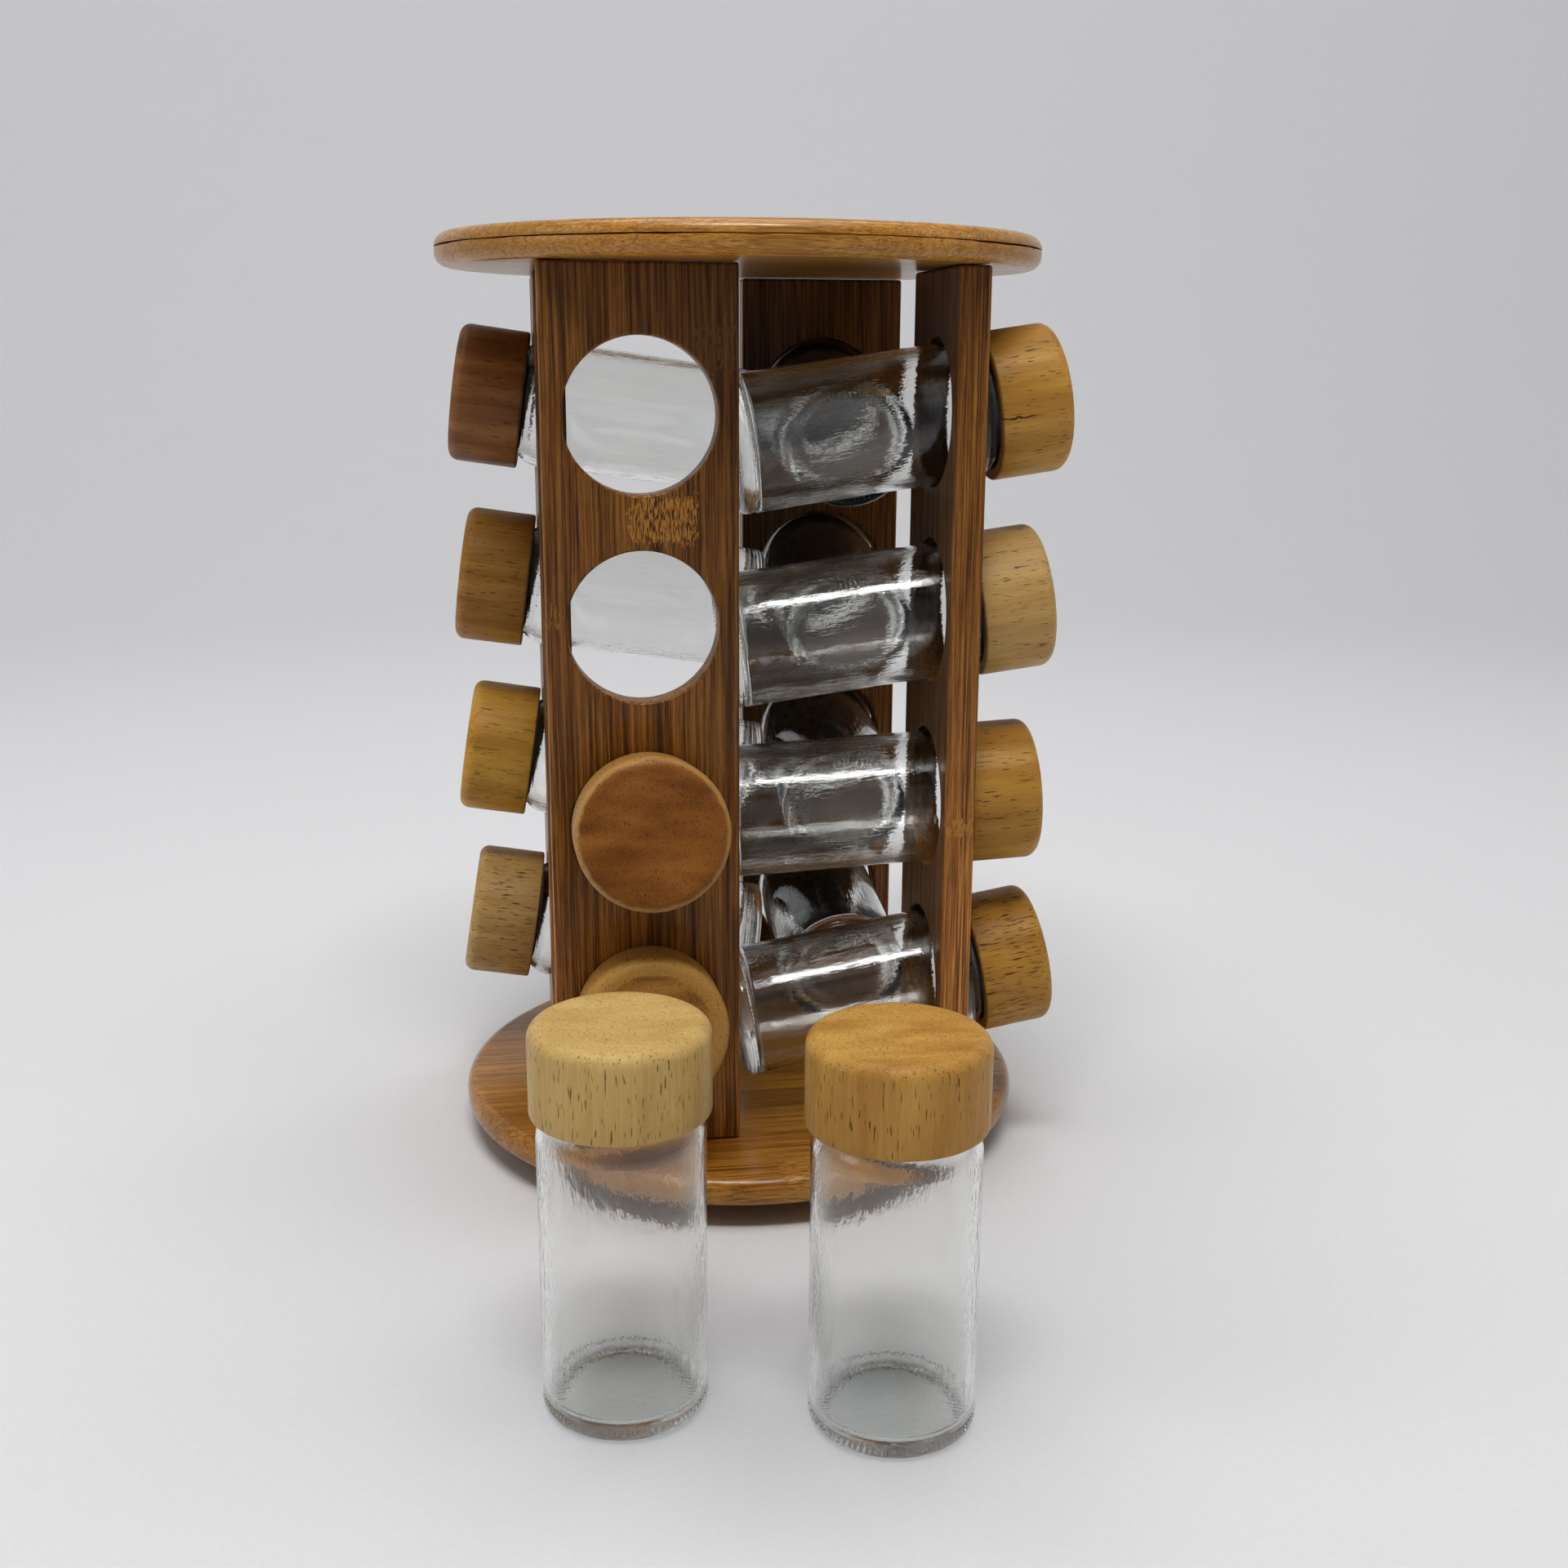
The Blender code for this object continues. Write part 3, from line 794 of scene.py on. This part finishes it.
def glass_mesh():
    """A jar with a domed floor, ribbed bearing ring, shoulder, threaded neck and round lip."""
    # Inner floor and inner wall
    profile = [(0.0, 6.7), (6.0, 6.5), (11.0, 5.9), (14.5, 5.2), (17.2, 4.9)]
    profile += arc(17.2, 7.9, 3.0, -90, 0, 5)[1:]
    profile += [(20.2, 20.0), (20.2, 50.0), (20.2, 76.6)]
    # Inside of the shoulder and neck, and the lip
    profile += [(20.0, 78.4), (19.3, 80.4), (18.2, 82.0), (17.5, 83.3), (17.2, 84.6)]
    profile += [(17.2, 95.6)]
    profile += arc(18.1, 96.1, 0.9, 180, 0, 6)[1:]
    # Two beads for the thread, and the shoulder
    profile += [(19.0, 95.2), (19.0, 93.4), (19.5, 92.9), (19.5, 92.1), (19.0, 91.6)]
    profile += [(19.0, 89.4), (19.5, 88.9), (19.5, 88.1), (19.0, 87.6), (19.0, 84.6)]
    profile += [(19.2, 83.9), (20.1, 83.0), (21.2, 81.6), (21.9, 79.9), (22.2, 77.9)]
    # Outer wall, with a fine step above the heel
    profile += [(22.2, 50.0), (22.2, 20.0), (22.2, 5.6), (21.95, 5.1), (21.95, 4.6)]
    profile += [(22.2, 4.1)]
    profile += arc(19.6, 2.9, 2.6, 0, -70, 6)
    # Ribbed bearing ring, then the hollow underside
    ribs = len(profile)
    bearing_ring = [(19.9, 0.2), (19.2, 0.0), (18.4, 0.0), (17.5, 0.25)]
    profile += bearing_ring
    profile += [(16.4, 0.85), (13.0, 1.5), (8.0, 1.95), (0.0, 2.1)]

    def knurl(row, angle, r, z):
        if ribs <= row < ribs + len(bearing_ring):
            height = RIB_HEIGHT * (1 + math.cos(GLASS_RIBS * angle))
            return r, z + height * (0.6 if row == ribs else 1.0)
        return r, z

    return lathe("jar_glass_fine", profile, GLASS_SEGMENTS, knurl)


def cap_mesh():
    """A straight turned cap with a rounded, slightly dished face and a recess for the neck."""
    bottom, top, radius = CAP_BOTTOM, CAP_TOP, CAP_RADIUS
    profile = [(0.0, top - 0.42), (8.0, top - 0.4), (14.0, top - 0.3), (18.0, top - 0.12)]
    profile += arc(20.2, top - 3.6, 3.6, 95, 0, 10)
    profile += [(radius, 100.0), (radius, 92.0)]
    profile += arc(radius - 0.8, bottom + 0.8, 0.8, 0, -90, 3)
    profile += [(20.5, bottom), (20.0, bottom + 0.5), (20.0, 97.8), (0.0, 97.8)]
    return lathe("cap_fine", profile, CAP_SEGMENTS)


def sifter_mesh():
    """A shallow cup with a flanged rim that plugs the mouth, its floor full of holes."""
    profile = [(0.0, 83.8), (14.9, 83.8), (15.6, 84.5), (15.6, 96.6), (16.0, 96.8), (16.6, 96.8)]
    profile += [(16.8, 96.6), (16.8, 83.4), (16.2, 82.6), (0.0, 82.6)]
    mesh = lathe("sifter_blank", profile, SIFTER_SEGMENTS)
    centres = [Vector((0, 0, SIFTER_FLOOR)) * MM]
    for count, ring in SIFTER_RINGS:
        for i in range(count):
            angle = math.tau * (i + 0.5) / count
            x, y = ring * math.cos(angle), ring * math.sin(angle)
            centres.append(Vector((x, y, SIFTER_FLOOR)) * MM)
    radius, depth, upright = SIFTER_HOLE_RADIUS * MM, 5 * MM, Matrix.Identity(4)
    mesh = drilled(mesh, "sifter_fine", centres, radius, depth, upright, SIFTER_HOLE_SEGMENTS)
    return shaded(mesh, 40.0)


# Wood tones: dark, middle and light bands
PALE = ((0.54, 0.355, 0.125), (0.60, 0.41, 0.155), (0.66, 0.465, 0.19))
GOLD = ((0.50, 0.265, 0.045), (0.62, 0.345, 0.062), (0.70, 0.41, 0.09))
CREAM = ((0.46, 0.275, 0.095), (0.55, 0.35, 0.13), (0.63, 0.43, 0.17))
HONEY = ((0.38, 0.185, 0.033), (0.48, 0.252, 0.048), (0.56, 0.32, 0.074))
APRICOT = ((0.42, 0.215, 0.048), (0.52, 0.29, 0.072), (0.60, 0.36, 0.10))
TAWNY = ((0.27, 0.12, 0.026), (0.38, 0.18, 0.04), (0.47, 0.24, 0.06))
AMBER = ((0.30, 0.135, 0.026), (0.40, 0.20, 0.042), (0.48, 0.26, 0.064))
BROWN = ((0.19, 0.07, 0.012), (0.28, 0.108, 0.02), (0.37, 0.155, 0.032))
RUSSET = ((0.20, 0.085, 0.028), (0.31, 0.14, 0.045), (0.42, 0.205, 0.075))

# Each cap's tone and seed, with what marks it, as cap_wood names it
CAPS = {
    "table_1": (PALE, 1.0, {}),
    "table_2": (APRICOT, 2.0, {}),
    "front_3": (BROWN, 3.0, {"ring": (22.4, (0.50, 0.28, 0.09))}),
    "front_4": (TAWNY, 4.0, {"ring": (18.4, (0.47, 0.26, 0.065))}),
    "right_1": (HONEY, 5.0, {"crack": 8.0}),
    "right_2": (CREAM, 6.0, {}),
    "right_3": (HONEY, 7.0, {}),
    "right_4": (HONEY, 8.0, {"pores": 0.385}),
    "back_1": (HONEY, 9.0, {}),
    "back_2": (PALE, 10.0, {}),
    "back_3": (AMBER, 11.0, {}),
    "back_4": (BROWN, 12.0, {}),
    "left_1": (RUSSET, 13.0, {}),
    "left_2": (AMBER, 14.0, {}),
    "left_3": (GOLD, 15.0, {}),
    "left_4": (CREAM, 16.0, {"pores": 0.36}),
}


def cad_slot(node):
    """The material slot the record gives a CAD node."""
    return frame["nodes"][node].data.materials[0].name.split(".")[0]


def build_jars():
    glass_shape, cap_shape, sifter_shape = glass_mesh(), cap_mesh(), sifter_mesh()
    clear, milky = glass(), plastic()
    for label in JAR_LABELS:
        matrix = jar_matrix(label)
        tone, seed, marks = CAPS[label]
        wood = cap_wood(f"cap_look_{label}", tone, seed, **marks)
        for kind, mesh, material, body in (
            ("glass", glass_shape, clear, "jar"),
            ("sifter", sifter_shape, milky, "jar"),
            ("cap", cap_shape, wood, "lid"),
        ):
            node = f"{kind}_{label}"
            show(f"{node}_fine", mesh, material, matrix, f"{body}_{label}", cad_slot(node), [node])


# ---------------------------------------------------------------------------------------------
# Turntable
# ---------------------------------------------------------------------------------------------


def build_turntable():
    metal, black = steel(), rubber()

    def plate(node, body):
        low, high = (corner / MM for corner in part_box(node))
        outer = high.x
        rim = [(outer - 0.5, high.z), (outer - 0.15, high.z - 0.1), (outer, high.z - 0.35)]
        rim += [(outer, low.z + 0.35), (outer - 0.15, low.z + 0.1), (outer - 0.5, low.z)]
        profile = [(PLATE_BORE, low.z), (PLATE_BORE, high.z), (PLATE_MIDDLE, high.z)]
        profile += rim + [(PLATE_MIDDLE, low.z)]
        mesh = lathe(node + "_fine", profile, PLATE_SEGMENTS)
        show(node + "_fine", mesh, metal, Matrix.Identity(4), body, "steel", [node])

    plate("lower_plate", "foot")
    plate("upper_plate", "rack")

    low, high = (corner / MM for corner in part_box("foot_pad"))
    profile = [(0.0, high.z)]
    for i in range(PAD_GROOVES):
        ring = PAD_FIRST_GROOVE + PAD_GROOVE_PITCH * i
        profile += [(ring, high.z), (ring + 0.4, high.z - 0.3), (ring + 1.4, high.z - 0.3)]
        profile += [(ring + 1.8, high.z)]
    outer = high.x
    profile += [(outer - 0.6, high.z), (outer, high.z - 0.6), (outer, low.z + 0.4)]
    profile += [(outer - 0.4, low.z), (0.0, low.z)]
    mesh = lathe("foot_pad_fine", profile, PLATE_SEGMENTS)
    show("foot_pad_fine", mesh, black, Matrix.Identity(4), "foot", "rubber", ["foot_pad"])

    low, high = (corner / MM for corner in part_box("pivot_pin"))
    outer = high.x
    profile = [(0.0, high.z), (outer - 1.6, high.z - 0.15), (outer - 0.5, high.z - 0.6)]
    profile += [(outer, high.z - 1.3), (outer, low.z + 0.4), (outer - 0.4, low.z), (0.0, low.z)]
    mesh = lathe("pivot_pin_fine", profile, PIN_SEGMENTS)
    show("pivot_pin_fine", mesh, metal, Matrix.Identity(4), "foot", "steel", ["pivot_pin"])

    low, high = (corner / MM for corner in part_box("ball_cage"))
    height = (low.z + high.z) / 2
    ball = (high.z - low.z) / 2
    inner, outer = CAGE_RADIUS - CAGE_HALF_WIDTH, CAGE_RADIUS + CAGE_HALF_WIDTH
    profile = [(inner, height - 0.4), (inner, height + 0.4)]
    profile += [(inner + 0.8, height + 0.5), (outer - 0.8, height + 0.5)]
    profile += [(outer, height + 0.4), (outer, height - 0.4)]
    profile += [(outer - 0.8, height - 0.5), (inner + 0.8, height - 0.5)]
    mesh = lathe("ball_cage_fine", profile, CAGE_SEGMENTS)
    bm = bmesh.new()
    bm.from_mesh(mesh)
    for i in range(BALLS):
        angle = math.tau * i / BALLS
        x, y = CAGE_RADIUS * math.cos(angle), CAGE_RADIUS * math.sin(angle)
        centre = Vector((x, y, height)) * MM
        bmesh.ops.create_icosphere(
            bm, subdivisions=3, radius=ball * 0.98 * MM, matrix=Matrix.Translation(centre)
        )
    bm.to_mesh(mesh)
    bm.free()
    shaded(mesh)
    show("ball_cage_fine", mesh, metal, Matrix.Identity(4), "ball_ring", "steel", ["ball_cage"])


# ---------------------------------------------------------------------------------------------
# Studio
# ---------------------------------------------------------------------------------------------


def build_stage():
    """A round sweep: a level floor that curves up into a wall on every side."""
    wall, back = SWEEP_FLOOR + SWEEP_CURVE, SWEEP_FLOOR + SWEEP_CURVE + 10.0
    profile = [(0.0, 0.0), (400.0, 0.0), (SWEEP_FLOOR, 0.0)]
    profile += arc(SWEEP_FLOOR, SWEEP_CURVE, SWEEP_CURVE, -90, 0, 12)[1:]
    profile += [(wall, SWEEP_TOP), (back, SWEEP_TOP), (back, 0.0)]
    profile += [(SWEEP_FLOOR, -10.0), (0.0, -10.0)]
    mesh = lathe("sweep", profile, SWEEP_SEGMENTS)
    mesh.materials.append(paper())
    sweep = linked("sweep", mesh)
    sweep.location.y = SWEEP_SHIFT


def area_light(name, place, target, size, watts):
    data = bpy.data.lights.new(name, "AREA")
    data.shape = "RECTANGLE"
    data.size, data.size_y = size
    data.energy = watts
    obj = bpy.data.objects.new(name, data)
    bpy.context.scene.collection.objects.link(obj)
    obj.location = place
    obj.rotation_mode = "QUATERNION"
    obj.rotation_quaternion = (Vector(target) - Vector(place)).to_track_quat("-Z", "Y")


WORLD_COLOUR = (0.93, 0.95, 1.0, 1.0)
WORLD_STRENGTH = 0.045

# Name, place, target, size and watts. The four last light the sweep, not the object
LAMPS = (
    ("overhead", (0.0, -0.1, 1.6), (0, -0.1, 0.0), (1.2, 1.2), 5.8),
    ("key", (-0.1, -0.74, 1.55), (0, -0.07, 0.15), (0.7, 0.25), 8.8),
    ("left", (-1.3, -0.3, 0.9), (0, 0, 0.15), (0.7, 1.0), 2.0),
    ("right", (1.3, -0.3, 0.9), (0, 0, 0.15), (0.7, 1.0), 1.3),
    ("backdrop", (0.0, 0.6, 1.9), (0, 1.9, 0.6), (2.0, 0.5), 11.5),
    ("left_wall", (-0.9, -0.5, 1.9), (-2.3, -0.5, 0.5), (0.5, 1.6), 3.5),
    ("right_wall", (0.9, -0.5, 1.9), (2.3, -0.5, 0.5), (0.5, 1.6), 3.5),
    ("front_wall", (0.0, -1.7, 1.9), (0, -3.0, 0.5), (2.0, 0.5), 3.5),
)


def build_light():
    world = bpy.data.worlds.new("studio")
    world.use_nodes = True
    background = world.node_tree.nodes["Background"]
    background.inputs["Color"].default_value = WORLD_COLOUR
    background.inputs["Strength"].default_value = WORLD_STRENGTH
    bpy.context.scene.world = world
    # Light bounces many times inside the glass bases
    cycles = bpy.context.scene.cycles
    cycles.max_bounces = 24
    cycles.glossy_bounces = 16
    cycles.transmission_bounces = 20
    cycles.caustics_reflective = False
    cycles.caustics_refractive = False
    for lamp in LAMPS:
        area_light(*lamp)


def build_camera():
    yaw, pitch, roll = CAMERA_YAW, CAMERA_PITCH, CAMERA_ROLL
    right = Vector((math.cos(yaw), -math.sin(yaw), 0))
    forward = Vector(
        (math.sin(yaw) * math.cos(pitch), math.cos(yaw) * math.cos(pitch), -math.sin(pitch))
    )
    up = right.cross(forward)
    x_axis = right * math.cos(roll) + up * math.sin(roll)
    y_axis = up * math.cos(roll) - right * math.sin(roll)
    data = bpy.data.cameras.new("camera")
    data.lens = CAMERA_LENS
    data.sensor_width = CAMERA_SENSOR
    data.clip_start, data.clip_end = CAMERA_CLIP
    camera = bpy.data.objects.new("camera", data)
    bpy.context.scene.collection.objects.link(camera)
    matrix = Matrix((x_axis, y_axis, -forward)).transposed().to_4x4()
    matrix.translation = CAMERA_PLACE
    camera.matrix_world = matrix
    bpy.context.scene.camera = camera
    bpy.context.scene.view_settings.view_transform = "Standard"
    bpy.context.scene.view_settings.look = "Medium High Contrast"


build_camera()
build_discs()
build_panels()
build_jars()
build_turntable()
build_stage()
build_light()
